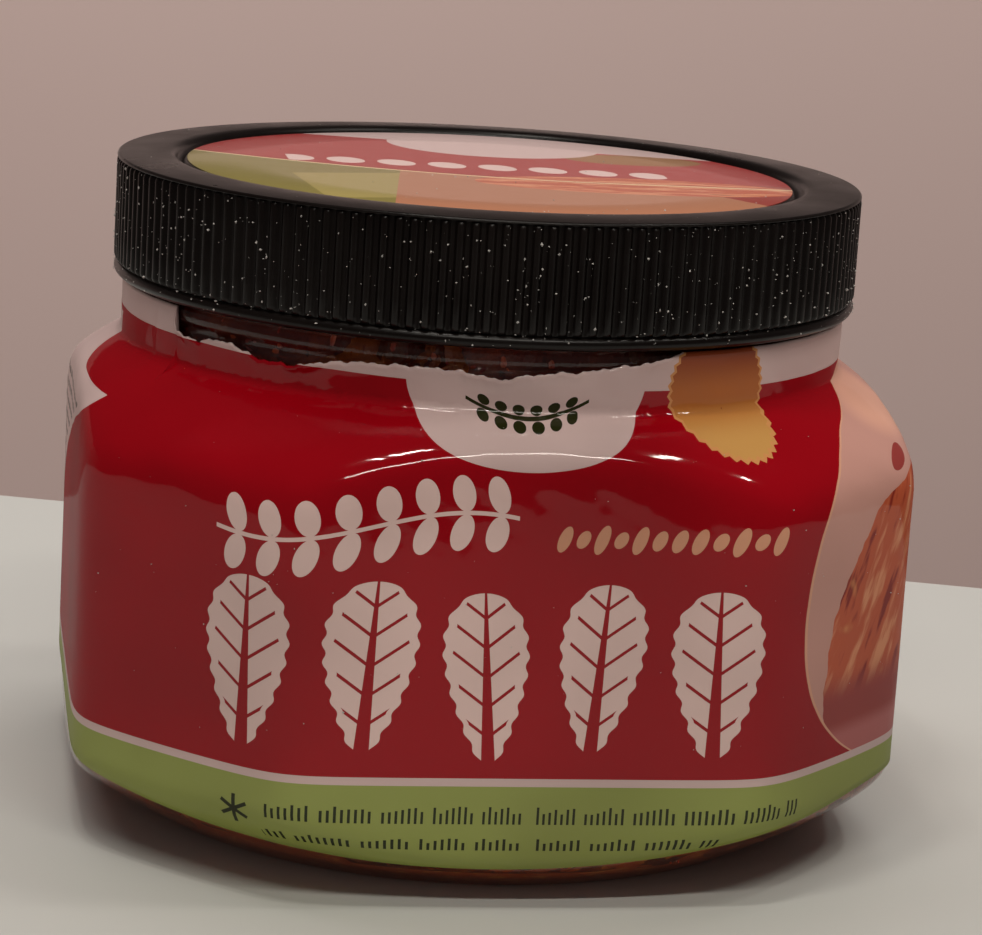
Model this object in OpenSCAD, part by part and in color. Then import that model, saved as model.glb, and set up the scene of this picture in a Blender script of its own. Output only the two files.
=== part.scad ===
// Kimchi jar: a squarish clear jar with a round neck, filled with sliced kimchi, closed by a
// finely ribbed screw lid with a round label, in a printed sleeve that is torn open at the neck.
// Millimetres, +Z up. The origin is at the middle of the base, on the surface it stands on.
// The front faces -Y. Angles go round the jar from the front towards +X.

/* [Body] */
// Width of the body across its flat sides
body_w = 90; // [76:1:110]
// How much wider the body is across its cut corners
corner_extra = 11; // [4:0.1:16]
// Height of the shoulder, from where it starts to turn in up to the neck
shoulder_h = 10.8; // [8:0.1:24]
// Height of the straight neck between the shoulder and the lid
neck_h = 6.4; // [4.5:0.1:12]
// Diameter of the neck over the sleeve
neck_d = 80; // [72:0.5:90]
// Diameter of the ring that the jar stands on
base_d = 75.6; // [60:0.1:84]
// Height of the rounded heel above the base
heel_h = 10; // [6:0.5:13]
// How far the shoulder would swell past the cut corners, were they not flat
shoulder_over = 1.85; // [0:0.05:5]
// Depth of the hollow under the base
base_hollow_h = 1.2; // [0.5:0.1:2]
// Width of the flat ring that the jar stands on
base_ring_w = 4; // [2:0.5:8]

/* [Walls and neck] */
// Thickness of the jar's wall
wall = 0.8; // [0.5:0.1:1.5]
// Thickness of the jar's floor
floor_t = 1.2; // [0.8:0.1:2]
// Wall of the threaded neck under the lid
finish_wall = 1.2; // [0.8:0.1:2]
// Depth of the groove between the two rings on the neck
ring_depth = 0.45; // [0.2:0.05:0.6]

/* [Lid] */
// Diameter of the lid over its ribs
lid_d = 82; // [74:0.5:96]
// Height of the lid
lid_h = 13.2; // [10:0.1:18]
// Height of the lid's lower edge above the base
lid_z = 57.2; // [56:0.1:62]
// Number of ribs round the lid
rib_count = 166; // [60:1:180]
// Depth of the ribs
rib_depth = 0.5; // [0.3:0.05:0.8]
// Wall of the lid behind the ribs
lid_wall = 1.2; // [0.8:0.1:2]
// Thickness of the lid's top
lid_top_t = 1.2; // [0.8:0.1:2]
// Height of the smooth bead below the ribs
bead_h = 1.4; // [0.8:0.1:2.5]
// Height of the smooth band above the ribs
band_h = 1.3; // [1.1:0.1:2.5]
// Radius of the rounded top edge
lid_edge_r = 1; // [0.5:0.1:1.1]
// Depth of the recess in the lid's top
recess_h = 0.7; // [0.3:0.1:1.2]
// Width of the lid's flat rim round the recess
rim_w = 6.5; // [4:0.1:14]
// Gap between the lid and the threaded neck
lid_gap = 0.4; // [0.2:0.05:0.8]

/* [Label and sleeve] */
// Gap between the round label and the wall of the lid's recess
label_gap = 1.1; // [0.4:0.1:10]
// Thickness of the label
label_t = 0.15; // [0.1:0.05:0.4]
// Thickness of the sleeve's film
film = 0.2; // [0.1:0.05:0.4]
// Gap between the sleeve and the jar
film_gap = 0.1; // [0.05:0.05:0.3]
// Height of the sleeve's lower edge at the front and the back
sleeve_low_z = 4; // [3:0.1:6]
// How much higher the sleeve's lower edge is at the sides
sleeve_side_lift = 5.2; // [0:0.1:6]
// How far the sleeve's whole upper edge stays below the lid
sleeve_lid_gap = 0.3; // [0.2:0.1:1]

/* [Filling] */
// How far the kimchi stays below the jar's rim
fill_drop = 8.5; // [3:0.1:10]
// Unevenness of the kimchi's top
fill_bump = 0.7; // [0:0.1:1.2]
// Gap between the kimchi and the jar's wall
fill_gap = 0.3; // [0.2:0.05:0.6]

/* [Hidden] */

// Steps round the jar, and sharpness with which sides, shoulder and heel blend
turn_steps = 60;
blend = 40;
// Shape of the shoulder's and the heel's curve: 1 is a straight cone
shoulder_power = 1.5;
heel_power = 1.2;
overlap = 0.2;
round_steps = 8;

film_depth = film + film_gap;
neck_z = lid_z - neck_h;
shoulder_z = neck_z - shoulder_h;
corner_w = body_w + corner_extra;
shoulder_swell = (corner_w - neck_d) / 2 + shoulder_over;
heel_swell = shoulder_swell + (neck_d - base_d) / 2;
lid_top_z = lid_z + lid_h;
recess_z = lid_top_z - recess_h;
jar_top_z = recess_z - lid_top_t;
lid_core_d = lid_d - 2 * rib_depth;
lid_inner_d = lid_core_d - 2 * lid_wall;
finish_d = lid_inner_d - 2 * lid_gap;
mouth_d = finish_d - 2 * finish_wall;
recess_d = lid_d - 2 * rim_w;
label_d = recess_d - 2 * label_gap;
fill_z = jar_top_z - fill_drop;
neck_ring_z = lid_z - sleeve_lid_gap;
// Where the neck meets the threaded part under the lid, which may be the wider of the two
jar_neck_d = neck_d - 2 * film_depth;
wide_finish = finish_d > jar_neck_d;
finish_z = wide_finish ? lid_z : neck_ring_z;
neck_top_z = wide_finish ? neck_ring_z + film_gap : neck_ring_z - overlap;
throat_d = min(mouth_d, jar_neck_d - 2 * wall);
inner_floor_z = base_hollow_h + floor_t;

// Torn upper edge of the sleeve: angle, and drop below the whole upper edge
tear = [[-62, 0], [-61.5, 2.4], [-56, 3.1], [-53, 2.5], [-49, 2.5], [-44, 3.5], [-37, 3.5],
        [-28, 2.3], [-12, 2.2], [-6, 3], [2, 2], [10, 1.5], [16, 1], [21, 0]];

// Heights of the rings of points up the body, closest where the wall curves most
lower_share = [0.09, 0.2, 0.33, 0.48, 0.66, 0.82, 1];
upper_share = [0, 0.15, 0.32, 0.48, 0.62, 0.74, 0.85, 0.94, 1];
shoulder_rows = [for (share = upper_share) shoulder_z + share * (neck_z - shoulder_z)];
body_rows = concat([for (share = lower_share) share * heel_h], shoulder_rows);
// The sleeve's rings follow the jar's, and those below its lower edge crowd just above that edge
sleeve_rows = [for (z = body_rows) if (z > sleeve_low_z + 0.3) z];
sleeve_crowd_h = 0.06;
inner_share = [0, 0.3, 0.6, 0.85, 1];
inner_rows = concat([inner_floor_z, inner_floor_z + 0.21 * heel_h, heel_h],
                    [for (share = inner_share) shoulder_z + share * (neck_z - shoulder_z)]);

function pull(reach) = pow(1 / reach, blend);
function side_pull(angle, reach) = cos(angle) > 0 ? pow(cos(angle) / reach, blend) : 0;
function total(list, i = 0) = i < len(list) ? list[i] + total(list, i + 1) : 0;

// The sides: four flats and four cut corners
function sides_pull(angle) = total([for (side = [0 : 90 : 270])
    side_pull(angle - side, body_w / 2) + side_pull(angle - side - 45, corner_w / 2)]);

function shoulder_r(z) = let (rise = max(0, z - shoulder_z) / (neck_z - shoulder_z))
    neck_d / 2 + shoulder_swell * (1 - pow(rise, shoulder_power));
function heel_r(z) = let (rise = min(1, z / heel_h))
    base_d / 2 + heel_swell * (1 - pow(1 - rise, heel_power));

// Distance from the axis to the outside of the sleeve at an angle and a height
function body_r(angle, z) = z >= neck_z ? neck_d / 2
    : pow(sides_pull(angle) + pull(shoulder_r(z)) + pull(heel_r(z)), -1 / blend);

function around(angle, r, z) = [r * sin(angle), -r * cos(angle), z];
angles = [for (i = [0 : turn_steps - 1]) i * 360 / turn_steps];
function body_ring(z, inset) = [for (a = angles) around(a, body_r(a, z) - inset, z)];
function round_ring(r, z) = [for (a = angles) around(a, r, z)];

function half_turn(angle) = angle > 180 ? angle - 360 : angle;
function sleeve_high(angle) = neck_ring_z
    - (abs(half_turn(angle) + 20) < 42 ? lookup(half_turn(angle), tear) : 0);
function sleeve_low(angle) = sleeve_low_z + sleeve_side_lift * pow(abs(sin(angle)), 3);

// Faces between two rings of points. Each four-cornered face is split the same way on the
// outside, where the rings go up, and on the inside, where they come back down
function side_faces(first, second, going_down) = [for (i = [0 : turn_steps - 1])
    let (next = (i + 1) % turn_steps, a = first * turn_steps, b = second * turn_steps)
    each going_down
        ? [[a + i, b + i, a + next], [b + i, b + next, a + next]]
        : [[a + i, b + i, b + next], [a + i, b + next, a + next]]];

// Closed solid over rings of points; its ends are flat, or joined to each other as a tube.
// The rings come back down from the ring numbered top
module skin(rings, top = 1000, tube = false) {
    count = len(rings);
    sides = [for (k = [0 : count - 2]) each side_faces(k, k + 1, k >= top)];
    ends = tube ? side_faces(count - 1, 0, true)
        : [[for (i = [0 : turn_steps - 1]) i],
           [for (i = [turn_steps - 1 : -1 : 0]) (count - 1) * turn_steps + i]];
    polyhedron(points = [for (ring = rings) each ring], faces = concat(sides, ends));
}

// Clear jar: hollow base, heel, flat sides, shoulder, ringed neck and the neck under the lid
module jar() {
    neck_r = jar_neck_d / 2;
    groove_r = neck_r - ring_depth;
    neck_gap = neck_ring_z - neck_z;
    base_rings = [round_ring(base_d / 2 - 2 * base_ring_w, base_hollow_h),
                  round_ring(base_d / 2 - base_ring_w, 0),
                  round_ring(base_d / 2 - film_depth, 0)];
    wall_rings = [for (z = body_rows) body_ring(z, film_depth)];
    neck_rings = [round_ring(neck_r, neck_z + 0.42 * neck_gap),
                  round_ring(groove_r, neck_z + 0.54 * neck_gap),
                  round_ring(groove_r, neck_z + 0.72 * neck_gap),
                  round_ring(neck_r, neck_z + 0.8 * neck_gap),
                  round_ring(neck_r, neck_top_z),
                  round_ring(finish_d / 2, finish_z),
                  round_ring(finish_d / 2, jar_top_z),
                  round_ring(mouth_d / 2, jar_top_z),
                  round_ring(mouth_d / 2, finish_z + finish_wall),
                  round_ring(throat_d / 2, finish_z)];
    inner_rings = [for (i = [len(inner_rows) - 1 : -1 : 0]) body_ring(inner_rows[i], film_depth + wall)];
    mouth_ring = len(base_rings) + len(wall_rings) + len(neck_rings) - 2;
    color("lavenderblush", 0.4)
    skin(concat(base_rings, wall_rings, neck_rings, inner_rings), top = mouth_ring);
}

// Filling up to just under the lid, with an uneven top
module kimchi() {
    inset = film_depth + wall + fill_gap;
    top_r = throat_d / 2 - fill_gap;
    function bump(angle, share) = fill_z
        + fill_bump * share * (sin(3 * angle + 40) + cos(5 * angle)) / 2;
    wall_rings = [for (z = inner_rows) body_ring(z == inner_floor_z ? z + fill_gap : z, inset)];
    top_rings = [for (share = [1, 0.7, 0.35])
        [for (a = angles) around(a, top_r * share, bump(a, share))]];
    color("firebrick")
    skin(concat(wall_rings, [round_ring(top_r, neck_ring_z)], top_rings));
}

// Printed film round the body and the neck, torn open at the front just below the lid
module sleeve() {
    function low_ring(row_z, rank, inset) = [for (a = angles)
        let (z = max(row_z, sleeve_low(a) + rank * sleeve_crowd_h)) around(a, body_r(a, z) - inset, z)];
    function top_ring(inset) = [for (a = angles) around(a, neck_d / 2 - inset, sleeve_high(a))];
    function film_rings(inset) = concat(
        [low_ring(0, 0, inset)],
        [for (i = [0 : len(sleeve_rows) - 1]) low_ring(sleeve_rows[i], i + 1, inset)],
        [top_ring(inset)]);
    inner = film_rings(film);
    color("firebrick")
    skin(concat(film_rings(0), [for (i = [len(inner) - 1 : -1 : 0]) inner[i]]),
         top = len(inner), tube = true);
}

function arc(x, y, r, from, to) = [for (i = [0 : round_steps])
    let (a = from + (to - from) * i / round_steps) [x + r * cos(a), y + r * sin(a)]];

module ribs() {
    outer_r = lid_d / 2 - 0.05;
    valley_r = lid_core_d / 2 + 0.05;
    pitch = 360 / rib_count;
    corners = [[-0.34, valley_r], [-0.18, outer_r], [0.18, outer_r], [0.34, valley_r]];
    points = [for (i = [0 : rib_count - 1]) each [for (c = corners)
        [c[1] * cos((i + c[0]) * pitch), c[1] * sin((i + c[0]) * pitch)]]];
    translate([0, 0, lid_z + bead_h - overlap])
    linear_extrude(lid_h - bead_h - band_h + 2 * overlap)
    difference() {
        polygon(points);
        circle(r = lid_core_d / 2 - lid_wall / 2, $fn = 120);
    }
}

// Screw lid: smooth bead, ribs, rounded rim and a shallow recess for the label
module lid() {
    outer_r = lid_d / 2;
    core_r = lid_core_d / 2;
    bead_r = bead_h / 2;
    profile = concat(
        [[lid_inner_d / 2, lid_z]],
        arc(outer_r - bead_r, lid_z + bead_r, bead_r, -90, 90),
        [[core_r, lid_z + bead_h], [core_r, lid_top_z - band_h], [outer_r, lid_top_z - band_h]],
        arc(outer_r - lid_edge_r, lid_top_z - lid_edge_r, lid_edge_r, 0, 90),
        [[recess_d / 2 + recess_h / 2, lid_top_z], [recess_d / 2, recess_z], [0, recess_z],
         [0, jar_top_z], [lid_inner_d / 2, jar_top_z]]);
    color([0.08, 0.07, 0.07])
    union() {
        rotate_extrude($fn = 120) polygon(profile);
        ribs();
    }
}

// Round label in the lid's recess
module lid_label() {
    color("indianred")
    translate([0, 0, recess_z])
    cylinder(d = label_d, h = label_t, $fn = 120);
}

jar();
kimchi();
sleeve();
lid();
lid_label();
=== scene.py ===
import math
import bpy
import numpy as np
from mathutils import Matrix, Vector


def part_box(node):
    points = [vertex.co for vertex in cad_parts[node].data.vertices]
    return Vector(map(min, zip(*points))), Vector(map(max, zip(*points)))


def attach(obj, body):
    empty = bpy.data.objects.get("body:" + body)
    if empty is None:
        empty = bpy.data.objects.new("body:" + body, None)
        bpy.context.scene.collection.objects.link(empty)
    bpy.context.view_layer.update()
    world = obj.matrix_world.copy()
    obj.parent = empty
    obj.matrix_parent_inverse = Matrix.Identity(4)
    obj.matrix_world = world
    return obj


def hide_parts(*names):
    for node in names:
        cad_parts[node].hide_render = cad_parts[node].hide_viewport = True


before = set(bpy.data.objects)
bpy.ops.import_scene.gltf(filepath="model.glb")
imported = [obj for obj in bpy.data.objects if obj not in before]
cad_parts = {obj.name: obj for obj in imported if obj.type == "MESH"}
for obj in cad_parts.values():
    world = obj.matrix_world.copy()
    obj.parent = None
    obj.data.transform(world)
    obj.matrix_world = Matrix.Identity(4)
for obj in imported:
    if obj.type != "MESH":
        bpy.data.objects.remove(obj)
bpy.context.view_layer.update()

print("frame loaded:", sorted(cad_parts))

mm = 0.001
noise = np.random.default_rng(11)

# what the frame gives, in millimetres
def boxMm(node):
    low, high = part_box(node)
    return [c / mm for c in low], [c / mm for c in high]

lidLow, lidHigh = boxMm("lid")
sleeveLow, sleeveHigh = boxMm("sleeve")
labelLow, labelHigh = boxMm("lid_label")
fillTop = boxMm("kimchi")[1][2]
lidRadius = lidHigh[0]
topZ = lidHigh[2]


class Wire:  # a node's output that can be used like a number
    def __init__(self, tree, socket):
        self.tree = tree
        self.socket = socket

    def calc(self, operation, *others):
        node = self.tree.nodes.new("ShaderNodeMath")
        node.operation = operation
        for place, value in enumerate((self,) + others):
            plug(self.tree, value, node.inputs[place])
        return Wire(self.tree, node.outputs[0])

    def __add__(self, other):
        return self.calc("ADD", other)

    def __sub__(self, other):
        return self.calc("SUBTRACT", other)

    def __mul__(self, other):
        return self.calc("MULTIPLY", other)

    def __truediv__(self, other):
        return self.calc("DIVIDE", other)

    def __lt__(self, other):
        return self.calc("LESS_THAN", other)

    def __gt__(self, other):
        return self.calc("GREATER_THAN", other)

    def __and__(self, other):
        return self.calc("MINIMUM", other)

    def __or__(self, other):
        return self.calc("MAXIMUM", other)

    def off(self):  # 1 where the mask is 0
        return Wire.one(self.tree) - self

    def size(self):
        return self.calc("ABSOLUTE")

    def squared(self):
        return self * self

    def root(self):
        return self.calc("SQRT")

    def wave(self):
        return self.calc("SINE")

    def part(self):  # what is left after whole steps
        return self.calc("FRACT")

    def whole(self):
        return self.calc("FLOOR")

    @staticmethod
    def one(tree):
        node = tree.nodes.new("ShaderNodeValue")
        node.outputs[0].default_value = 1.0
        return Wire(tree, node.outputs[0])


def plug(tree, value, socket):
    if isinstance(value, Wire):
        tree.links.new(value.socket, socket)
    elif isinstance(value, (tuple, list)):
        socket.default_value = (*value[:3], 1.0)
    else:
        socket.default_value = value


def ink(red, green, blue):  # a printed colour, 0 to 255
    parts = (red, green, blue)
    return tuple(((c / 255 + 0.055) / 1.055) ** 2.4 if c > 10 else c / 255 / 12.92 for c in parts)


def mixColor(tree, first, second, share):
    node = tree.nodes.new("ShaderNodeMix")
    node.data_type = "RGBA"
    plug(tree, share, node.inputs[0])
    plug(tree, first, node.inputs[6])
    plug(tree, second, node.inputs[7])
    return Wire(tree, node.outputs[2])


def layered(tree, ground, layers):  # later layers lie over earlier ones
    for mask, color in layers:
        ground = mixColor(tree, ground, color, mask)
    return ground


def noiseField(tree, place, scale, detail=3.0, roughness=0.5):
    node = tree.nodes.new("ShaderNodeTexNoise")
    node.inputs["Scale"].default_value = scale
    node.inputs["Detail"].default_value = detail
    node.inputs["Roughness"].default_value = roughness
    tree.links.new(place, node.inputs["Vector"])
    return Wire(tree, node.outputs["Fac"])


def ramp(tree, value, low, high):  # 0 at low, 1 at high, smooth between
    node = tree.nodes.new("ShaderNodeMapRange")
    node.interpolation_type = "SMOOTHSTEP"
    plug(tree, value, node.inputs["Value"])
    node.inputs["From Min"].default_value = low
    node.inputs["From Max"].default_value = high
    return Wire(tree, node.outputs["Result"])


def oval(x, y, middle, reach):  # below 1 inside the oval
    across = (x - middle[0]) * (1 / reach[0])
    up = (y - middle[1]) * (1 / reach[1])
    return across.squared() + up.squared()


def curveOf(tree, value, low, high, points, lowest, highest):  # a smooth curve through points
    node = tree.nodes.new("ShaderNodeFloatCurve")
    shape = node.mapping.curves[0]
    spots = [((x - low) / (high - low), (y - lowest) / (highest - lowest)) for x, y in points]
    shape.points[0].location = spots[0]
    shape.points[1].location = spots[-1]
    for spot in spots[1:-1]:
        shape.points.new(*spot)
    node.mapping.update()
    plug(tree, (value - low) * (1 / (high - low)), node.inputs["Value"])
    return Wire(tree, node.outputs[0]) * (highest - lowest) + lowest


def newMaterial(name):
    material = bpy.data.materials.new(name)
    material.use_nodes = True
    tree = material.node_tree
    return material, tree, tree.nodes["Principled BSDF"]


def bump(tree, shader, height, distance, strength=1.0):
    node = tree.nodes.new("ShaderNodeBump")
    node.inputs["Distance"].default_value = distance
    node.inputs["Strength"].default_value = strength
    plug(tree, height, node.inputs["Height"])
    tree.links.new(node.outputs["Normal"], shader.inputs["Normal"])


def objectPlace(tree):
    return tree.nodes.new("ShaderNodeTexCoord").outputs["Object"]


def xyz(tree, vector):
    node = tree.nodes.new("ShaderNodeSeparateXYZ")
    tree.links.new(vector, node.inputs[0])
    return [Wire(tree, out) for out in node.outputs]


def meshObject(name, points, faces, material, smooth=True):
    mesh = bpy.data.meshes.new(name)
    mesh.from_pydata((np.asarray(points, float) * mm).tolist(), [], faces)
    mesh.validate()
    if smooth:
        mesh.shade_smooth()
    mesh.materials.append(material)
    piece = bpy.data.objects.new(name, mesh)
    bpy.context.scene.collection.objects.link(piece)
    return piece


def gridFaces(rows, cols, tube=False):  # rings of points, joined round, and end to end for a tube
    r = np.arange(rows if tube else rows - 1)
    c = np.arange(cols)
    low, across = np.meshgrid(r, c, indexing="ij")
    high = (low + 1) % rows
    beside = (across + 1) % cols
    corners = ((low, across), (low, beside), (high, beside), (high, across))
    quads = np.stack([row * cols + col for row, col in corners], -1)
    return quads.reshape(-1, 4)


def ringMesh(name, rings, material, tube=False, capStart=False, capEnd=False):
    rings = np.asarray(rings, float)
    rows, cols = rings.shape[:2]
    faces = gridFaces(rows, cols, tube).tolist()
    if capStart:
        faces.append(list(range(cols - 1, -1, -1)))
    if capEnd:
        faces.append([(rows - 1) * cols + i for i in range(cols)])
    return meshObject(name, rings.reshape(-1, 3), faces, material)


def around(angle, r, z):  # 0 degrees is the front, -Y
    rad = np.radians(angle)
    return np.stack([r * np.sin(rad), -r * np.cos(rad), np.broadcast_to(z, np.shape(r * rad))], -1)


bodyShape = {
    "flat": sleeveHigh[0] + 0.01,  # axis to a flat side, mm
    "corner": sleeveHigh[0] + 5.5,  # axis to a cut corner
    "neck": lidRadius - 1,
    "swell": 12.35,  # how far the shoulder would swell past the neck
    "shoulderZ": 40,
    "neckZ": 50.8,
    "base": 37.8,
    "heelZ": 10,
    "blend": 44,  # sharpness of the corners
    "film": 0.2,
    "underFilm": 0.3,  # from the film's outside to the jar
    "wall": 0.8,
}


def bodyRadius(angle, z):
    s = bodyShape
    angle, z = np.broadcast_arrays(np.asarray(angle, float), np.asarray(z, float))
    total = np.zeros(angle.shape)
    for side in (0, 90, 180, 270):
        for turn, reach in ((0, s["flat"]), (45, s["corner"])):
            facing = np.cos(np.radians(angle - side - turn))
            total += np.where(facing > 0, (np.abs(facing) / reach) ** s["blend"], 0)
    rise = np.clip((z - s["shoulderZ"]) / (s["neckZ"] - s["shoulderZ"]), 0, 1)
    shoulder = s["neck"] + s["swell"] * (1 - rise ** 1.5)
    heelSwell = s["neck"] + s["swell"] - s["base"]
    low = np.clip(z / s["heelZ"], 0, 1)
    heel = s["base"] + heelSwell * (1 - (1 - low) ** 1.2)
    total += (1 / shoulder) ** s["blend"] + (1 / heel) ** s["blend"]
    return np.where(z >= s["neckZ"], s["neck"], total ** (-1 / s["blend"]))


sleeveSizes = {
    "topZ": sleeveHigh[2],
    "lowZ": sleeveLow[2],
    "sideLift": 9,  # how far its lower edge climbs at the sides
    "skew": 8,  # degrees that this climb is turned to the right
    "liftLimit": 7,
    # torn edge: angle, and drop below the whole upper edge
    "tear": [(-62, 0), (-61.5, 2.4), (-59.5, 2.9), (-56, 3.1), (-53, 2.5), (-49, 2.5), (-46.5, 2.9),
             (-44, 3.5), (-37, 3.5), (-33, 2.8), (-28, 2.3), (-20, 2.1), (-12, 2.2), (-8, 2.6),
             (-6, 3.0), (-4.5, 2.6), (2, 2.0), (6, 1.9), (10, 1.5), (16, 1), (21, 0.25), (22, 0)],
    "jag": 0.07,
    "curl": 0.55,
    "curlDeep": 1.6,  # how far below the torn edge the curl starts
}


def tearDrop(angle):
    tear = sleeveSizes["tear"]
    drop = np.interp(angle, [p[0] for p in tear], [p[1] for p in tear])
    torn = (angle > -62) & (angle < 21.5)
    jag = 2 * np.sin(angle * 1.7) * np.sin(angle * 0.37) + 0.8 * np.sin(angle * 3.9 + 1)
    jag += 0.35 * np.sin(angle * 8.3)
    tooth = 0.09 * np.abs(((angle * 0.9) % 1) - 0.5)  # perforation left along the whole edge
    return np.where(torn, drop + sleeveSizes["jag"] * jag * np.clip(drop, 0, 1), tooth)


def filmWobble(angle, z):  # shrink film never lies quite flat
    slow = np.sin(angle * 0.11 + z * 0.31) + np.sin(angle * 0.23 - z * 0.17 + 2)
    quick = np.sin(angle * 0.61 + z * 0.9 + 1) * np.sin(z * 0.55 + angle * 0.13)
    fade = np.clip((z - 36) / 8, 0.15, 1) * np.clip((57 - z) / 3, 0, 1)
    return 0.05 * slow * fade + 0.035 * quick * fade


def makeSleeve(material):
    s = sleeveSizes
    angles = np.concatenate([np.arange(-68, 28, 0.3), np.arange(28, 292, 1.0)])
    cols = len(angles)
    lift = s["sideLift"] * np.abs(np.sin(np.radians(angles + s["skew"]))) ** 2.5
    lower = s["lowZ"] + lift / (1 + (lift / s["liftLimit"]) ** 4) ** 0.25
    drop = tearDrop(np.where(angles > 180, angles - 360, angles))
    upper = s["topZ"] - drop
    share = np.concatenate([np.linspace(0, 0.12, 8)[:-1], np.linspace(0.12, 0.6, 14)[:-1],
                            np.linspace(0.6, 1, 44)])
    z = lower + (upper - lower) * share[:, None]
    a = np.broadcast_to(angles, z.shape)
    near = np.clip(1 - (upper - z) / s["curlDeep"], 0, 1) ** 2
    torn = np.clip(drop, 0, 1)
    curl = s["curl"] * near * torn * (0.45 + 0.55 * np.sin(a * 0.35 + 1.2) * np.sin(a * 0.13))
    outer = bodyRadius(a, z) + filmWobble(a, z) - 0.05 + np.maximum(curl, 0)
    rings = np.concatenate([around(a, outer, z), around(a, outer - bodyShape["film"], z)[::-1]])
    piece = ringMesh("printedSleeve", rings, material, tube=True)
    rows = rings.shape[0]
    zs = np.concatenate([z, z[::-1]])
    quadUv = np.zeros((rows, cols, 4, 2))
    along = np.append(angles, angles[0] + 360)
    for corner, (dr, dc) in enumerate(((0, 0), (0, 1), (1, 1), (1, 0))):
        quadUv[:, :, corner, 0] = along[dc:cols + dc] / 360
        quadUv[:, :, corner, 1] = np.roll(np.roll(zs, -dr, 0), -dc, 1) / 100
    layer = piece.data.uv_layers.new(name="printPlace")
    layer.data.foreach_set("uv", quadUv.reshape(-1))
    return piece


# the print: places in degrees round the jar and millimetres up it
printPlan = {
    "perDegree": 0.79,  # mm along the front for one degree
    "neckZ": 53.2,
    "neckLean": 0.7,  # how much lower this line is on the right, and higher on the left
    "lineZ": 14.0,
    "lineWidth": 0.85,
    "emblem": {"angle": -2, "z": 54.2, "half": 17.8, "depth": 8.5},
    "badge": {"angle": 28.7, "z": 52.9, "halfAngle": 8.9, "halfZ": 6.4, "teeth": 38},
    "leaves": {"left": -33.2, "pitch": 11.4, "count": 5, "z": 24.9, "half": 4.9, "tall": 9.0},
    "sprig": {"x": -16.8, "z": 39.7, "half": 14.4, "pitch": 3.5},
    "seeds": {"x": 12.8, "z": 39, "pitch": 1.9, "eachSide": 6},
    "star": {"angle": -35.5, "z": 9.4, "arm": 1.6, "width": 0.2},
    # rows of fine strokes: height, length, pitch, start and end
    "strokes": [(10.1, 1.9, 0.62, -24.9, 28.4), (7.0, 1.3, 0.7, -25.7, 20.1)],
    # edges of the side panels: height, and angle at that height
    "picture": [(10, 58), (14, 47), (16.6, 42), (20, 38), (23.6, 35.7), (28, 34.6), (32.4, 34.7),
                (36.4, 35.6), (40.4, 37.4), (44, 40.8), (47, 47), (49.4, 57), (53.3, 74)],
    "notice": [(8, -122), (16, -121), (25, -117), (34, -106), (38.2, -95.5), (42, -82), (45, -70.5),
               (47, -67)],
    "noticeUpper": [(47, -67), (47.4, -76), (48.2, -84), (53.3, -87)],
    "heap": [(18, 40), (24.8, 40), (31.2, 42), (34.8, 45), (38, 47.5), (40.4, 50), (42.2, 56.5),
             (44, 68), (45, 88)],
    "glow": ((68, 49), (11.111, 3.571)),  # middle and reach of the warm patch above the heap
    "chilli": {"angle": 58, "z": 44.3},
}
inks = {
    "red": ink(158, 4, 20),
    "white": ink(216, 190, 187),
    "green": ink(158, 168, 92),
    "dark": ink(38, 44, 20),
    "brown": ink(146, 66, 32),
    "orange": ink(184, 106, 48),
    "paleGold": ink(208, 156, 88),
    "pale": ink(236, 206, 200),
    "blush": ink(208, 156, 144),
    "peach": ink(236, 178, 156),
    "sauce": ink(196, 92, 60),
    "pepper": ink(140, 44, 36),
    "rose": ink(186, 106, 104),
    "wine": ink(158, 66, 62),
    "flesh": ink(228, 152, 112),
    "deepGreen": ink(146, 156, 80),
    "goldEdge": ink(214, 150, 92),
    "seed": ink(222, 160, 128),
    "carrot": ink(220, 144, 92),
    "panelLine": ink(226, 168, 140),
    "grey": ink(120, 112, 108),
}


def leafMask(x, y, half, tall):  # a napa leaf standing on its stalk, centre at 0, 0
    up = y * (1 / tall)
    body = (Wire.one(x.tree) - up.squared()) | 0.0
    width = (body.root() * (up * 0.35 + 0.8) + (y * 3.1).wave() * 0.035) * half
    inside = (x.size() < width) & (up.size() < 1.0)
    rib = x.size() < Wire.one(x.tree) * 0.42 - up * 0.3
    slanted = ((y - x.size() * 0.8) * (1 / 3.1)).part()
    side = (slanted < 0.13) & (x.size() < width * 0.78)
    return inside & (Wire.one(x.tree) - (rib | side))


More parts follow.
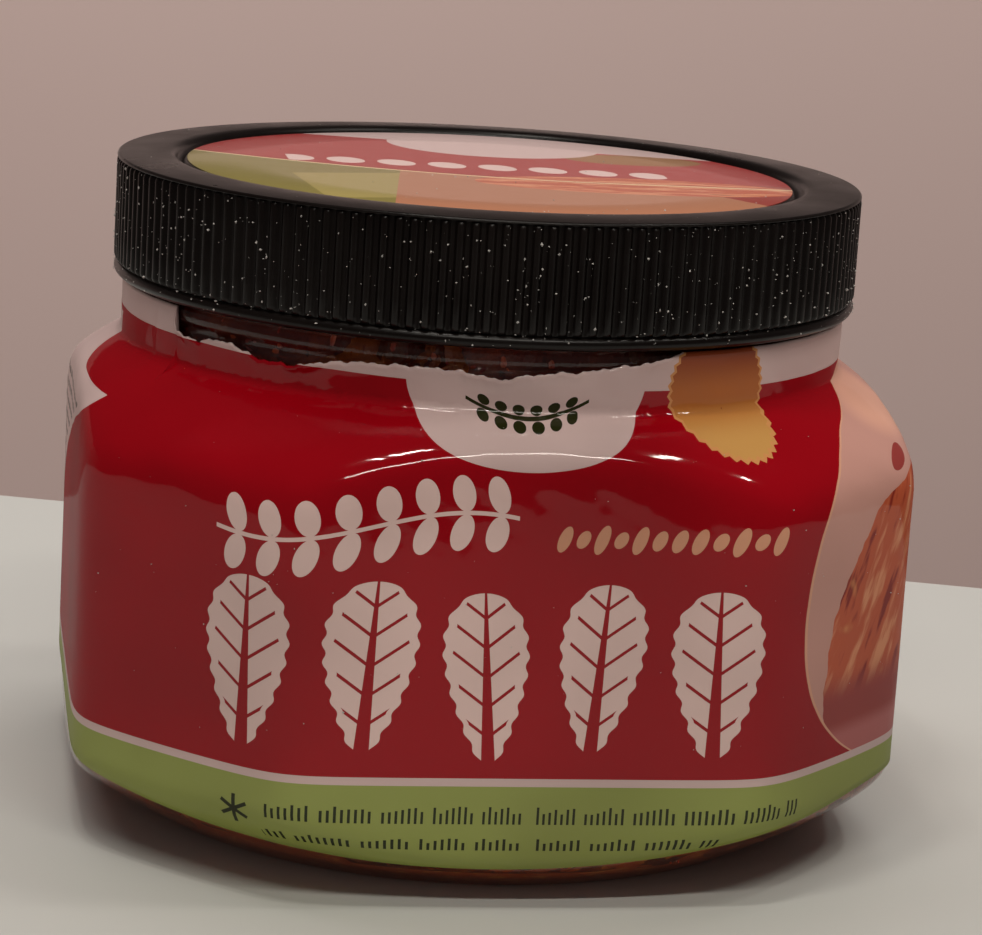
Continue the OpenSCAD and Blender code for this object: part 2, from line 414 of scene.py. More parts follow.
def makeSleeveMaterial():
    material, tree, shader = newMaterial("printedFilm")
    uv = tree.nodes.new("ShaderNodeUVMap")
    uv.uv_map = "printPlace"
    u, v, _ = xyz(tree, uv.outputs[0])
    turned = u * 360
    past = turned > 180
    angle = turned - past * 360
    z = v * 100
    p = printPlan
    place = objectPlace(tree)
    layers = []

    # neck band, white line and green band
    neckLine = (angle * (math.pi / 180)).wave() * -p["neckLean"] + p["neckZ"]
    layers.append((z > neckLine, inks["white"]))
    layers.append((z < p["lineZ"], inks["white"]))
    greenSpread = noiseField(tree, place, 60, 2)
    green = mixColor(tree, inks["green"], inks["deepGreen"], greenSpread)
    layers.append((z < p["lineZ"] - p["lineWidth"], green))

    # half-round field at the neck with a plain sprig
    e = p["emblem"]
    field = oval(angle, z, (e["angle"], e["z"]), (e["half"], e["depth"]))
    layers.append((field < 1.0, inks["white"]))
    stalkX = (angle - e["angle"]) * 0.62
    stalkY = (z - (e["z"] - 3.9)) * 0.88
    sprigTurn = stalkY - stalkX.squared() * 0.05
    sprig = (sprigTurn.size() < 0.16) & (stalkX.size() < 5.6)
    cell = (stalkX * (1 / 1.6)).part() - 0.5
    leaflet = (cell.squared() * 5.2 + (sprigTurn.size() - 0.62).squared() * 3.2) < 0.62
    leaflet = leaflet & (stalkX.size() < 4.9)
    layers.append((sprig | leaflet, inks["dark"]))

    # gold badge with a toothed edge, bare inside
    b = p["badge"]
    bx = (angle - b["angle"]) * (1 / b["halfAngle"])
    bz = (z - b["z"]) * (1 / b["halfZ"])
    reach = (bx.squared() + bz.squared()).root()
    heading = bz.calc("ARCTAN2", bx)
    tooth = ((heading * (b["teeth"] / (2 * math.pi))).part() - 0.5).size() * 0.11
    goldSpread = layered(tree, inks["paleGold"], [(ramp(tree, bz, -0.75, -0.1), inks["orange"]),
                                                  (ramp(tree, bz, -0.1, 0.6), inks["brown"])])
    layers.append(((reach + tooth) < 1.04, inks["goldEdge"]))
    layers.append(((reach + tooth) < 0.985, goldSpread))

    # row of five pale leaves where a big word would stand
    lx = angle * p["perDegree"]
    row = p["leaves"]
    steps = (lx - row["left"]) * (1 / row["pitch"])
    within = (steps.part() - 0.5) * row["pitch"]
    sway = (steps.whole() * 2.4).wave()
    leafX = within - (z - 24) * (sway * 0.07)
    leafY = z - row["z"] - sway * 0.6
    leaves = leafMask(leafX, leafY, row["half"], row["tall"])
    leaves = leaves & (steps > 0.0) & (steps < row["count"])
    layers.append((leaves, inks["pale"]))

    # curved sprig of slim leaves, upper left
    g = p["sprig"]
    sx = lx - g["x"]
    arcY = z - g["z"] - (sx * 0.16).wave() * 1.8
    stem = (arcY.size() < 0.22) & (sx.size() < g["half"])
    slim = (sx * (1 / g["pitch"])).part() - 0.5
    upSide = (arcY - 2.0) + slim * 1.6
    downSide = (arcY + 2.0) - slim * 1.6
    upLeaf = (slim.squared() * 9.0 + upSide.squared() * 0.32) < 1.0
    downLeaf = (slim.squared() * 9.0 + downSide.squared() * 0.32) < 1.0
    layers.append((stem | ((upLeaf | downLeaf) & (sx.size() < g["half"] - 0.4)), inks["pale"]))

    # line of small slanted seeds, upper right
    d = p["seeds"]
    seedZ = z - d["z"]
    seedSteps = (lx - d["x"] - seedZ * 0.3) * (1 / d["pitch"])
    seed = seedSteps.part() - 0.5
    tall = (seedSteps.whole() * 2.7).wave() * 0.35 + 1.25
    seeds = ((seed * 2.7).squared() + (seedZ / tall).squared()) < 0.9
    layers.append((seeds & (seedSteps.size() < d["eachSide"]), inks["seed"]))

    # dark marks on the green band: a plain six-armed frost star and rows of fine strokes
    k = p["star"]
    kx = (angle - k["angle"]) * 0.8
    kz = z - k["z"]
    star = Wire.one(tree) * 0
    for turn in (0, 60, 120):
        c, s = math.cos(math.radians(turn)), math.sin(math.radians(turn))
        star = star | (((kx * c + kz * s).size() < k["width"]) & ((kx * -s + kz * c).size() < k["arm"]))
    layers.append((star, inks["dark"]))
    for rowZ, tall, step, start, end in p["strokes"]:
        cell = (lx * (1 / step)).whole()
        within = (lx * (1 / step)).part()
        chance = (((cell * 12.99).wave() * 437.6).part() + 1).part()
        gap = (cell * (1 / 8.3)).part() < 0.13
        foot = rowZ - tall * 0.5
        high = chance * (tall * 0.4) + tall * 0.58
        strokes = (within < 0.42) & ((z - foot) < high) & (z > foot)
        layers.append((strokes & (lx > start) & (lx < end) & gap.off(), inks["dark"]))

    # picture panel on the right: a bowl and a heap on a pale ground, inside a curved pale line
    edge = curveOf(tree, z, 10, 53.3, p["picture"], 0, 90)
    mirrored = (angle - 90).size() * -1 + 90  # the outline is the same on both sides of 90 degrees
    inward = mirrored - edge
    panel = (inward > 0.0) & (z > p["lineZ"]) & (z < p["neckZ"]) & (angle > 0.0)
    glow = oval(mirrored, z, *p["glow"])
    ground = mixColor(tree, inks["blush"], inks["peach"], ramp(tree, glow, 1.6, 0.2))
    slant = tree.nodes.new("ShaderNodeCombineXYZ")  # streaks that fall to the left
    plug(tree, angle * 0.045 + z * 0.08, slant.inputs[0])
    plug(tree, z * 0.2 - angle * 0.29, slant.inputs[1])
    streak = noiseField(tree, slant.outputs[0], 1.0, 3, 0.6)
    blotch = noiseField(tree, place, 130, 3, 0.6)
    heapColor = layered(tree, inks["sauce"], [(ramp(tree, streak, 0.5, 0.66), inks["flesh"]),
                                              (ramp(tree, streak, 0.44, 0.34), inks["pepper"]),
                                              (ramp(tree, blotch, 0.6, 0.72), inks["carrot"])])
    heapColor = layered(tree, heapColor, [(ramp(tree, z, 24, 20), inks["wine"]),
                                          (ramp(tree, z, 18, 16), inks["rose"])])
    heapEdge = curveOf(tree, z, 18, 45, p["heap"], 30, 90)
    heap = (mirrored + (blotch - 0.5) * 5 - heapEdge > 0.0) & (z < 45)
    cx = angle - p["chilli"]["angle"]
    cz = z - p["chilli"]["z"] - cx * 0.2
    chilli = ((cx * 0.3).squared() + (cz * 1.2).squared()) < 1.0
    panelColor = layered(tree, ground, [(heap, heapColor), (chilli, inks["wine"])])
    layers.append((panel, inks["panelLine"]))
    layers.append((panel & (inward > 0.5), panelColor))

    # white notice panel on the left with rows of small grey dashes
    lowEdge = curveOf(tree, z, 8, 47, p["notice"], -130, -60)
    highEdge = curveOf(tree, z, 47, 53.3, p["noticeUpper"], -100, -60)
    leftEdge = lowEdge + (z > 47) * (highEdge - lowEdge)
    notice = (angle < leftEdge) & (angle > -148) & (z > p["lineZ"]) & (z < p["neckZ"])
    line = z * (1 / 1.9)
    rowPart = line.part()
    dashPart = (angle * 0.31 + line.whole() * 0.37).part()
    tiny = (rowPart < 0.42) & (dashPart < 0.72) & (angle < leftEdge - 4) & (angle > -143)
    tiny = tiny & (z < 45) & (z > 16.5)
    layers.append((notice, inks["white"]))
    layers.append((notice & tiny, inks["grey"]))

    printed = layered(tree, inks["red"], layers)
    shade = noiseField(tree, place, 35, 2)
    darker = mixColor(tree, printed, (0.02, 0.0, 0.0), 0.25)
    printed = mixColor(tree, printed, darker, ramp(tree, shade, 0.35, 0.75))
    plug(tree, printed, shader.inputs["Base Color"])
    # the gloss is a thin coat, so that edges seen at a shallow angle keep their colour
    shader.inputs["Roughness"].default_value = 0.4
    shader.inputs["Specular IOR Level"].default_value = 0.0
    shader.inputs["Coat Weight"].default_value = 0.2
    shader.inputs["Coat IOR"].default_value = 2.1
    shader.inputs["Coat Roughness"].default_value = 0.06
    ripple = noiseField(tree, place, 220, 2, 0.5)
    bump(tree, shader, ripple, 0.00012, 0.5)
    tree.links.new(shader.inputs["Normal"].links[0].from_socket, shader.inputs["Coat Normal"])
    return material


sleeve = makeSleeve(makeSleeveMaterial())
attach(sleeve, "root")
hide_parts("sleeve")
print("sleeve made")


jarSizes = {
    "ringZ": sleeveHigh[2],
    "finish": 38.9,
    "mouth": 37.7,
    "topZ": 68.5,
    "groove": 0.45,
    "hollow": 1.2,
    "floor": 1.2,
    "cols": 240,
}


def makeJarMaterial():
    material, tree, shader = newMaterial("clearPlastic")
    shader.inputs["Base Color"].default_value = (0.93, 0.9, 0.87, 1)
    shader.inputs["Transmission Weight"].default_value = 1.0
    shader.inputs["IOR"].default_value = 1.42
    haze = noiseField(tree, objectPlace(tree), 90, 2)
    plug(tree, ramp(tree, haze, 0.3, 0.9) * 0.08 + 0.03, shader.inputs["Roughness"])
    bump(tree, shader, noiseField(tree, objectPlace(tree), 70, 2), 0.0002, 0.35)
    return material


def makeJar(material):
    j, s = jarSizes, bodyShape
    angles = np.arange(j["cols"]) * 360 / j["cols"]
    under = s["underFilm"]
    neckR = s["neck"] - under
    grooveR = neckR - j["groove"]
    foot = ((8, j["hollow"]), (s["base"] - 8, j["hollow"]), (s["base"] - 6.5, 0.5),
            (s["base"] - 4, 0.05), (s["base"] - 2, 0.0))
    neck = ((neckR, 53.2), (neckR - 0.1, 53.7), (grooveR, 54.0), (grooveR, 55.0), (neckR - 0.1, 55.35),
            (neckR, 55.6), (neckR, 56.5), (neckR - 0.25, 56.8))
    finish = ((j["finish"], j["ringZ"]), (j["finish"], 62), (j["finish"], j["topZ"] - 0.3),
              (j["finish"] - 0.3, j["topZ"]), (j["mouth"] + 0.2, j["topZ"]), (j["mouth"], j["topZ"] - 0.3),
              (j["mouth"], 60), (j["mouth"], j["ringZ"]))
    outside = [[0.12], np.linspace(0.5, s["heelZ"], 14), np.linspace(12, s["shoulderZ"], 8),
               np.linspace(s["shoulderZ"] + 1, s["neckZ"], 22)]
    rows = [around(angles, np.full(j["cols"], r), z) for r, z in foot]
    for z in np.concatenate(outside):
        rows.append(around(angles, bodyRadius(angles, z) - under, z))
    for r, z in neck + finish:
        rows.append(around(angles, np.full(j["cols"], r), z))
    inset = under + s["wall"]
    inside = [np.linspace(s["neckZ"], s["shoulderZ"], 20), [30, 20, 12], np.linspace(10, 3.4, 8)]
    for z in np.concatenate(inside):
        rows.append(around(angles, bodyRadius(angles, z) - inset, z))
    rows.append(around(angles, bodyRadius(angles, 2.6) - inset - 2, j["hollow"] + j["floor"]))
    return ringMesh("clearJar", rows, material, capStart=True, capEnd=True)


jar = makeJar(makeJarMaterial())
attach(jar, "root")
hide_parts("jar")
print("jar made")


fillSizes = {
    "topZ": fillTop - 1.2,
    "reach": 0.12,  # how far the brine reaches into the wall
    "pieceReach": 0.24,
    "turnR": 42,  # radius by which a width becomes an angle
}


def innerRadius(angle, z):
    s = bodyShape
    inset = s["underFilm"] + s["wall"]
    taper = np.clip((np.asarray(z, float) - s["neckZ"]) / (jarSizes["ringZ"] - s["neckZ"]), 0, 1)
    return bodyRadius(angle, z) - inset - taper * (s["neck"] - inset - jarSizes["mouth"])


def makeBrineMaterial():
    material, tree, shader = newMaterial("pepperBrine")
    place = objectPlace(tree)
    broad = noiseField(tree, place, 120, 4, 0.6)
    fine = noiseField(tree, place, 700, 3, 0.6)
    color = layered(tree, ink(96, 22, 10), [(ramp(tree, broad, 0.45, 0.7), ink(140, 50, 20)),
                                            (ramp(tree, fine, 0.56, 0.7), ink(62, 8, 4)),
                                            (ramp(tree, fine, 0.7, 0.8), ink(176, 96, 40))])
    # painted light: towards the heel the brine is painted brighter and more orange, with paler painted
    # glints, to lift it out of the shade there
    low = ramp(tree, xyz(tree, place)[2], 0.016, 0.005)  # brighter down at the heel
    paintedHeelLight = mixColor(tree, ink(204, 92, 38), ink(238, 156, 76), ramp(tree, fine, 0.5, 0.7))
    color = mixColor(tree, color, paintedHeelLight, low * 0.8)
    plug(tree, color, shader.inputs["Base Color"])
    shader.inputs["Roughness"].default_value = 0.22
    shader.inputs["Specular IOR Level"].default_value = 0.3
    bump(tree, shader, broad * 0.7 + fine * 0.3, 0.0008, 0.6)
    return material


def makeBrine(material):
    cols = 240
    angles = np.arange(cols) * 360 / cols
    rows = []
    for z in np.concatenate([np.linspace(2.3, 10, 12), np.linspace(14, 36, 6), np.linspace(38, 58, 26)]):
        rows.append(around(angles, innerRadius(angles, z) + fillSizes["reach"], z))
    for share in (1.0, 0.97, 0.9, 0.8, 0.65, 0.5, 0.35, 0.2, 0.08):
        r = (jarSizes["mouth"] + fillSizes["reach"]) * share
        sway = np.sin(np.radians(3 * angles) + 9 * share) * (1 - share)
        z = fillSizes["topZ"] - 0.5 * share + 0.5 * sway
        rows.append(around(angles, np.full(cols, r), z))
    return ringMesh("pepperBrine", rows, material, capStart=True, capEnd=True)


brine = makeBrine(makeBrineMaterial())
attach(brine, "root")
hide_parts("kimchi")
print("brine made")


def makeCabbageMaterial(name, pale, deep, spread):
    material, tree, shader = newMaterial(name)
    place = objectPlace(tree)
    broad = noiseField(tree, place, spread, 3, 0.6)
    fine = noiseField(tree, place, spread * 7, 3, 0.6)
    color = layered(tree, pale, [(ramp(tree, broad, 0.35, 0.65), deep),
                                 (ramp(tree, fine, 0.6, 0.72), ink(120, 20, 10))])
    plug(tree, color, shader.inputs["Base Color"])
    shader.inputs["Roughness"].default_value = 0.25
    shader.inputs["Subsurface Weight"].default_value = 0.15
    shader.inputs["Subsurface Radius"].default_value = (0.002, 0.001, 0.0005)
    shader.inputs["Specular IOR Level"].default_value = 0.3
    bump(tree, shader, fine, 0.0004, 0.5)
    return material


stemSizes = {
    "count": 150,
    "onTop": 34,
    "long": (9, 20),
    "wide": (5, 10),
    "thick": 2.2,
    "crinkle": 0.25,
}
leafSizes = {
    "count": 130,
    "onTop": 30,
    "long": (10, 22),
    "wide": (7, 13),
    "thick": 0.9,
    "crinkle": 0.5,
}
sliceBands = ((4, 12, 0.34), (12, 48, 0.5), (48, 53, 0.16))  # from, to, and share of the slices


def pickHeight(bands):
    heights = [noise.uniform(low, high) for low, high, _ in bands]
    return noise.choice(heights, p=[share for _, _, share in bands])


def sliceMesh(name, sizes, material):  # slices against the wall, and a few on top of the heap
    points, faces = [], []
    along, across = 11, 6
    thick = sizes["thick"]
    for index in range(sizes["count"]):
        long, wide = noise.uniform(*sizes["long"]), noise.uniform(*sizes["wide"])
        turn = noise.uniform(0, math.pi)
        flat = index < sizes["onTop"]
        s = np.linspace(-0.5, 0.5, along)
        t = np.linspace(-0.5, 0.5, across)
        u, w = np.meshgrid(s, t, indexing="ij")
        edge = 1 + 0.12 * np.sin(9 * u + index) + 0.08 * np.sin(17 * u + 2 * index)
        taper = np.sqrt(np.clip(1 - (2 * np.abs(u)) ** 4, 0, 1)) * 0.6 + 0.4
        px = u * long
        py = w * wide * edge * taper + 0.12 * long * (u ** 2 - 0.1)
        x = px * math.cos(turn) - py * math.sin(turn)
        y = px * math.sin(turn) + py * math.cos(turn)
        lump = sizes["crinkle"] * (np.sin(u * 13 + index) + np.sin(w * 9 + u * 5 + 2 * index))
        rim = np.clip(1.15 - (2 * np.abs(w)) ** 3, 0.25, 1) * np.clip(1.1 - (2 * np.abs(u)) ** 6, 0.2, 1)
        layers = []
        if flat:
            cr = 26 * math.sqrt(noise.uniform(0, 1))
            ca = noise.uniform(0, 2 * math.pi)
            z0 = fillSizes["topZ"] + noise.uniform(-0.6, 0.1)
            for side in (0, 1):
                z = z0 + 0.35 * lump + (0.5 * thick * rim if side else -0.5 * thick * rim)
                z = np.minimum(z, fillTop + 0.2)
                layers.append(np.stack([cr * math.cos(ca) + x, cr * math.sin(ca) + y, z], -1))
        else:
            a0 = noise.uniform(0, 360)
            z = np.clip(pickHeight(sliceBands) + y, 3.2, 58.4)
            a = a0 + np.degrees(x / fillSizes["turnR"])
            r = innerRadius(a, z) + fillSizes["pieceReach"] - np.abs(lump) * 0.25
            layers.append(around(a, r, z))
            layers.append(around(a, r - thick * rim - 0.3, z))
        top, low = layers[0].reshape(-1, 3), layers[1].reshape(-1, 3)
        base = len(points)
        points.extend(top)
        points.extend(low)
        n = along * across
        for i in range(along - 1):
            for k in range(across - 1):
                first = i * across + k
                ring = [first, first + across, first + across + 1, first + 1]
                faces.append([base + spot for spot in ring])
                faces.append([base + n + spot for spot in reversed(ring)])
        border = [i * across for i in range(along)]
        border += [(along - 1) * across + k for k in range(1, across)]
        border += [i * across + across - 1 for i in range(along - 2, -1, -1)]
        border += list(range(across - 2, 0, -1))
        for i, here in enumerate(border):
            there = border[(i + 1) % len(border)]
            faces.append([base + here, base + n + here, base + n + there, base + there])
    return meshObject(name, points, faces, material)


stemMaterial = makeCabbageMaterial("cabbageStem", ink(176, 92, 42), ink(120, 40, 16), 160)
leafMaterial = makeCabbageMaterial("cabbageLeaf", ink(112, 50, 20), ink(90, 24, 10), 220)
stems = sliceMesh("cabbageStems", stemSizes, stemMaterial)
leaves = sliceMesh("cabbageLeaves", leafSizes, leafMaterial)
for piece in (stems, leaves):
    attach(piece, "root")


flakeSizes = {
    "count": 900,
    "long": (0.5, 1.3),
    "wide": (0.3, 0.8),
    "rise": 0.22,  # from the jar's inside outward
    "corners": 6,
}
flakeBands = ((3.5, 12, 0.35), (12, 50, 0.35), (50, 58, 0.3))


def makeFlakes():
    material, tree, shader = newMaterial("pepperFlakes")
    tone = noiseField(tree, objectPlace(tree), 400, 2)
    color = mixColor(tree, ink(150, 22, 8), ink(200, 76, 22), ramp(tree, tone, 0.4, 0.6))
    plug(tree, color, shader.inputs["Base Color"])
    shader.inputs["Roughness"].default_value = 0.3
    points, faces = [], []
    s = flakeSizes
    n = s["corners"]
    for _ in range(s["count"]):
        a = noise.uniform(0, 360)
        z = pickHeight(flakeBands)
        r = float(innerRadius(a, z)) + s["rise"]
        long, wide = noise.uniform(*s["long"]), noise.uniform(*s["wide"])
        turn = noise.uniform(0, math.pi)
        base = len(points)
        for k in range(n):
            w = 2 * math.pi * k / n
            dx = math.cos(w) * long / 2
            dy = math.sin(w) * wide / 2 * noise.uniform(0.7, 1.2)
            x = dx * math.cos(turn) - dy * math.sin(turn)
            y = dx * math.sin(turn) + dy * math.cos(turn)
            points.append(around(a + math.degrees(x / fillSizes["turnR"]), np.float64(r), z + y))
        points.append(around(a, np.float64(r + 0.08), z))
        points.append(around(a, np.float64(r - 0.3), z))
        for k in range(n):
            after = (k + 1) % n
            faces.append([base + k, base + after, base + n])
            faces.append([base + after, base + k, base + n + 1])
    return meshObject("pepperFlakes", points, faces, material, smooth=False)


flakes = makeFlakes()
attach(flakes, "root")
print("kimchi made")


lidSizes = {
    "ribs": 166,
    "steps": 12,  # points round one rib
    "depth": 0.5,
    "bead": 1.4,
    "band": 0.5,
    "edge": 0.32,
    "fall": 0.16,  # the rim's outer edge lies this much lower
    "recess": 0.7,
    "recessR": 34.5,
    "inner": 39.3,
}


def makeLidMaterial():
    material, tree, shader = newMaterial("blackLid")
    place = objectPlace(tree)
    grain = noiseField(tree, place, 900, 3, 0.6)
    scuff = noiseField(tree, place, 60, 4, 0.6)
    black, worn = (0.0034, 0.002, 0.0017), (0.0065, 0.0042, 0.0036)
    color = mixColor(tree, black, worn, ramp(tree, scuff, 0.45, 0.8))
    plug(tree, color, shader.inputs["Base Color"])
    plug(tree, ramp(tree, scuff, 0.3, 0.8) * 0.1 + 0.27, shader.inputs["Roughness"])
    shader.inputs["Specular IOR Level"].default_value = 0.25
    bump(tree, shader, grain, 0.00003, 0.4)
    return material


def makeLid(material):
    s = lidSizes
    cols = s["ribs"] * s["steps"]
    angles = np.arange(cols) * 360 / cols
    phase = (np.arange(cols) % s["steps"]) / s["steps"]
    rib = np.clip(1.45 * np.cos(2 * math.pi * phase) * 0.5 + 0.5, 0, 1)
    low, core = lidLow[2], lidRadius - s["depth"]
    bead = s["bead"] / 2
    profile = [(s["inner"], topZ - s["recess"] - 1.2, 0), (s["inner"], low + 0.2, 0),
               (s["inner"] + 0.2, low, 0)]
    for turn in range(-90, 91, 18):
        profile.append((lidRadius - bead + bead * math.cos(math.radians(turn)) - 0.02,
                        low + bead + bead * math.sin(math.radians(turn)), 0))
    ribLow, ribHigh = low + s["bead"] + 0.05, topZ - s["band"]
    for rise, amount in ((0, 0), (0.1, 0.45), (0.28, 0.8), (0.55, 1), (3, 1), (6, 1)):
        profile.append((core, ribLow + rise, amount))
    for fall, amount in ((3, 1), (0.55, 1), (0.3, 0.9), (0.12, 0.6), (0.0, 0.15)):
        profile.append((core, ribHigh - fall, amount))
    profile.append((core + 0.12, ribHigh + 0.06, 0))
    for turn in range(0, 91, 10):
        profile.append((lidRadius - s["edge"] + s["edge"] * math.cos(math.radians(turn)) - 0.02,
                        topZ - s["fall"] - s["edge"] + s["edge"] * math.sin(math.radians(turn)), 0))
    rim = s["recessR"]
    floorZ = topZ - s["recess"]
    profile += [(lidRadius - 1.6, topZ - 0.08, 0), (lidRadius - 3, topZ - 0.01, 0), (rim + 1.6, topZ, 0),
                (rim + 0.8, topZ - 0.05, 0), (rim + 0.35, topZ - 0.2, 0), (rim + 0.12, floorZ + 0.05, 0),
                (rim - 0.05, floorZ - 0.45, 0), (rim - 0.75, floorZ - 0.45, 0), (rim - 0.95, floorZ, 0),
                (20, floorZ, 0), (4, floorZ, 0)]
    rings = [around(angles, r + s["depth"] * amount * rib, z) for r, z, amount in profile]
    return ringMesh("ribbedLid", rings, material, capStart=True, capEnd=True)


lid = makeLid(makeLidMaterial())
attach(lid, "root")
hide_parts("lid")


# label in the lid's recess: fields of colour only, ovals given by middle and reach
labelPlan = {
    "whiteEdge": (23.7, -0.24),  # height at the middle, and slope, of the white field's edge
    "bulge": ((4.0, 23.5), (12.5, 11.0)),
    "leaf": ((19, 14.5), (8, 4.5)),
    "heap": ((15, -8.5), (18, 6.5)),
    "line": (-5.2, -0.2136, 0.00687),  # height, slope and bend of the line above the picture
    "lineEnd": (15.5, -6.8),  # right of this the line is level
    "markPitch": 5.6,
}
labelInks = {
    "red": ink(172, 50, 50),
    "olive": ink(140, 128, 70),
    "paleOlive": ink(170, 154, 92),
    "clay": ink(186, 126, 96),
    "brick": ink(160, 66, 58),
    "tan": ink(156, 108, 62),
    "cream": ink(236, 214, 170),
    "deepSauce": ink(140, 40, 26),
}


def makeLabelMaterial():
    material, tree, shader = newMaterial("lidLabelPrint")
    place = objectPlace(tree)
    x, y, _ = xyz(tree, place)
    x, y = x * 1000, y * 1000
    height, slope = labelPlan["whiteEdge"]
    c0, c1, c2 = labelPlan["line"]
    endX, endY = labelPlan["lineEnd"]
    line = x * c1 + x.squared() * c2 + c0
    line = line * (x < endX) + (x > endX) * endY
    below = y < line
    streaks = tree.nodes.new("ShaderNodeMapping")
    streaks.inputs["Scale"].default_value = (110, 520, 100)
    streaks.inputs["Rotation"].default_value = (0, 0, 0.15)
    tree.links.new(place, streaks.inputs["Vector"])
    streak = noiseField(tree, streaks.outputs[0], 1.0, 4, 0.6)
    heapColor = layered(tree, inks["sauce"], [(ramp(tree, streak, 0.45, 0.6), inks["flesh"]),
                                              (ramp(tree, streak, 0.6, 0.7), labelInks["deepSauce"])])
    white = (y > x * slope + height) | (oval(x, y, *labelPlan["bulge"]) < 1.0)
    leafPatch = oval(x, y, *labelPlan["leaf"]) < 1.0
    box = ((x + y * 0.1 + 16.5).size() < 7.0) & ((y - x * 0.25 + 11.5).size() < 9.5)
    picture = (x > y * 0.15 - 10) & below
    heap = oval(x, y, *labelPlan["heap"]) < 1.0
    redEnd = (x + y * 0.6 > 14.5) & (y < -4) & heap.off()
    mark = ((x + 1.5) * (1 / labelPlan["markPitch"])).part() - 0.5
    marks = (mark.squared() * 7 + (y - 3.2 + x * 0.12).squared() * 0.16) < 1.0
    marks = marks & ((x + 1).size() < 21) & below.off() & white.off()
    layers = [(below, labelInks["olive"]), (box & below, labelInks["paleOlive"]),
              (picture, labelInks["clay"]), (redEnd, labelInks["brick"]), (heap, heapColor),
              (leafPatch, labelInks["tan"]), (white, inks["white"]), (marks, inks["pale"]),
              ((y - line).size() < 0.3, labelInks["cream"])]
    color = layered(tree, labelInks["red"], layers)
    plug(tree, color, shader.inputs["Base Color"])
    shader.inputs["Roughness"].default_value = 0.28
    shader.inputs["Coat Weight"].default_value = 0.15
    shader.inputs["Coat Roughness"].default_value = 0.1
    bump(tree, shader, noiseField(tree, place, 300, 2), 0.00006, 0.4)
    return material


def makeLabel(material):
    cols = 180
    angles = np.arange(cols) * 360 / cols
    r = labelHigh[0]
    low, high = labelLow[2] + 0.01, labelHigh[2]
    outline = ((r * 0.5, low), (r, low), (r, high - 0.04), (r - 0.05, high), (r * 0.75, high),
               (r * 0.5, high), (r * 0.25, high))
    rings = [around(angles, np.full(cols, radius), z) for radius, z in outline]
    return ringMesh("lidLabel", rings, material, capStart=True, capEnd=True)


label = makeLabel(makeLabelMaterial())
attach(label, "root")
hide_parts("lid_label")
print("lid and label made")


dustSizes = {"side": 1300, "top": 120, "sleeve": 90, "small": 0.045, "large": 0.17}
speckFaces = ((1, 3, 5), (3, 0, 5), (0, 2, 5), (2, 1, 5), (3, 1, 4), (0, 3, 4), (2, 0, 4), (1, 2, 4))


def makeDust():
    material, tree, shader = newMaterial("paleDust")
    tone = noiseField(tree, objectPlace(tree), 800, 2)
    plug(tree, mixColor(tree, ink(140, 140, 140), ink(230, 226, 220), tone), shader.inputs["Base Color"])
    shader.inputs["Roughness"].default_value = 0.8
    points, faces = [], []

    def speck(center, size):
        base = len(points)
        squash = noise.uniform(0.5, 1.3, 3)
        for axis in range(3):
            for sign in (-1, 1):
                step = np.zeros(3)
                step[axis] = sign * size * squash[axis]
                points.append(center + step + noise.uniform(-0.25, 0.25, 3) * size)
        for corners in speckFaces:
            faces.append([base + corner for corner in corners])

    def grain():
        return dustSizes["small"] + (dustSizes["large"] - dustSizes["small"]) * noise.uniform(0, 1) ** 3

    for _ in range(dustSizes["side"]):
        z = noise.uniform(lidLow[2] + 0.3, topZ - 0.8)
        speck(around(noise.uniform(0, 360), np.float64(lidRadius + 0.01), z), grain())
    for _ in range(dustSizes["top"]):
        r = math.sqrt(noise.uniform(0.0, 1)) * (lidRadius - 1.2)
        z = topZ if r > lidSizes["recessR"] + 1 else labelHigh[2] + 0.01
        if lidSizes["recessR"] + 1 > r > labelHigh[0]:
            continue
        speck(around(noise.uniform(0, 360), np.float64(r), z), grain() * 0.8)
    for _ in range(dustSizes["sleeve"]):
        a, z = noise.uniform(-60, 60), noise.uniform(15, 50)
        speck(around(a, bodyRadius(a, z) + 0.02, z), grain() * 0.7)
    return meshObject("dustSpecks", points, faces, material, smooth=False)


dust = makeDust()
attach(dust, "root")
print("dust made")


stageSizes = {
    "turn": -18.1,  # degrees the table is turned under the jar
    "back": 123.5,  # mm from the jar's axis to the table's far edge
    "front": 215,
    "half": 520,
    "thick": 30,
    "edge": 9,
    "top": -0.05,
    "wallY": 620,
    "wallHalf": 1800,
    "wallLow": -500,
    "wallHigh": 185,
}


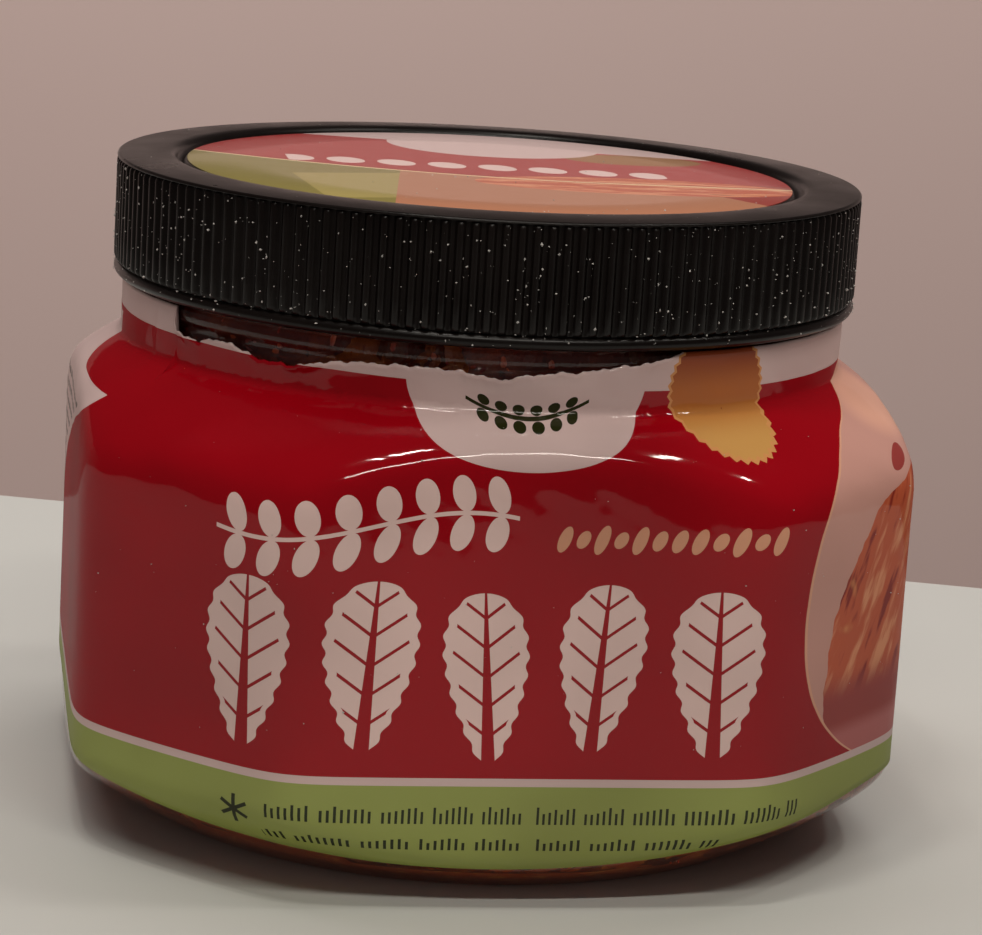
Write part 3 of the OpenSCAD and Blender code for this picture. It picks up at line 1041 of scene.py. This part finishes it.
def makeStage():
    material, tree, shader = newMaterial("paleFloor")
    cloud = noiseField(tree, objectPlace(tree), 6, 3)
    plug(tree, mixColor(tree, ink(200, 202, 198), ink(208, 210, 206), cloud), shader.inputs["Base Color"])
    shader.inputs["Roughness"].default_value = 0.5
    s = stageSizes
    outline = [(-s["front"], -s["thick"]), (-s["front"], -s["edge"])]
    for side, way in ((-s["front"] + s["edge"], -1), (s["back"] - s["edge"], 1)):
        turns = range(0, 91, 10)
        for turn in (turns if way < 0 else reversed(turns)):
            rad = math.radians(turn)
            outline.append((side + way * s["edge"] * math.cos(rad), s["edge"] * (math.sin(rad) - 1)))
    outline.append((s["back"], -s["thick"]))
    points = [(x, y, z + s["top"]) for x in (-s["half"], s["half"]) for y, z in outline]
    n = len(outline)
    faces = [[i, i + 1, n + i + 1, n + i] for i in range(n - 1)]
    faces += [list(range(n)), list(range(n, 2 * n))[::-1]]
    floor = meshObject("floor", points, faces, material)
    floor.rotation_euler.z = math.radians(s["turn"])
    wallMaterial, wallTree, wallShader = newMaterial("softWall")
    blur = noiseField(wallTree, objectPlace(wallTree), 4, 2)
    paint = mixColor(wallTree, ink(226, 204, 198), ink(232, 210, 204), blur)
    plug(wallTree, paint, wallShader.inputs["Base Color"])
    wallShader.inputs["Roughness"].default_value = 0.9
    wall = meshObject("wall", [(x, s["wallY"], z) for x, z in
                               ((-s["wallHalf"], s["wallLow"]), (s["wallHalf"], s["wallLow"]),
                                (s["wallHalf"], s["wallHigh"]), (-s["wallHalf"], s["wallHigh"]))],
                      [[0, 1, 2, 3]], wallMaterial)


makeStage()


def addArea(name, place, aim, width, height, power, color, shows):
    data = bpy.data.lights.new(name, "AREA")
    data.shape = "RECTANGLE"
    data.size, data.size_y = width * mm, height * mm
    data.energy = power
    data.color = color
    lamp = bpy.data.objects.new(name, data)
    lamp.location = Vector(place) * mm
    lamp.visible_glossy = shows  # soft fills don't mirror in the film
    lamp.rotation_euler = (Vector(aim) - Vector(place)).to_track_quat("-Z", "Y").to_euler()
    bpy.context.scene.collection.objects.link(lamp)


warm, soft, rosy = (1.0, 0.95, 0.86), (1.0, 0.93, 0.9), (1.0, 0.84, 0.78)
jarMiddle = (0, 0, 40)
lampPlan = [  # name, place, aim, width and depth in mm, power, colour, and whether it mirrors
    ("ceilingLamp0", (-160, -150, 715), jarMiddle, 55, 17, 0.4, warm, True),
    ("ceilingLamp1", (-95, -130, 735), jarMiddle, 60, 17, 0.42, warm, True),
    ("ceilingLamp2", (330, -70, 690), jarMiddle, 90, 22, 0.44, warm, True),
    ("ceilingLamp3", (470, -60, 640), jarMiddle, 40, 22, 0.24, warm, True),
    ("tableLamp", (10, -340, 470), (0, -200, 0), 380, 18, 1.05, warm, True),
    ("frontFill", (-500, -1500, 700), (0, 0, 30), 1400, 1000, 1.5, rosy, False),
    ("wallWash", (0, 250, 700), (0, 620, 20), 1200, 250, 4.8, soft, False),
]
for lampRow in lampPlan:
    addArea(*lampRow)

world = bpy.data.worlds.new("room")
bpy.context.scene.world = world
world.use_nodes = True
background = world.node_tree.nodes["Background"]
background.inputs["Color"].default_value = (0.085, 0.067, 0.062, 1)
background.inputs["Strength"].default_value = 1.0
bpy.context.scene.view_settings.view_transform = "Standard"

# the camera looks down a little from the left of the front
cameraPlan = {
    "turn": 9.4,  # degrees to the left of the front
    "away": 369,  # mm from the jar's axis
    "above": 45.7,  # mm above the lid
    "aside": 0.32,  # degrees the view is turned past the axis
    "down": 12.19,
    "roll": 3.46,
    "lens": 122.83,
}


def addCamera():
    c = cameraPlan
    data = bpy.data.cameras.new("view")
    data.sensor_width = 36
    data.lens = c["lens"]
    data.clip_start = 0.01
    camera = bpy.data.objects.new("view", data)
    camera.location = Vector(around(-c["turn"], np.float64(c["away"]), topZ + c["above"]).tolist()) * mm
    heading = Matrix.Rotation(math.radians(-c["turn"] - c["aside"]), 4, "Z")
    pitch = Matrix.Rotation(math.radians(90 - c["down"]), 4, "X")
    roll = Matrix.Rotation(math.radians(c["roll"]), 4, "Z")
    camera.matrix_world = Matrix.Translation(camera.location) @ heading @ pitch @ roll
    bpy.context.scene.collection.objects.link(camera)
    bpy.context.scene.camera = camera


addCamera()
print("stage, lights and camera made")
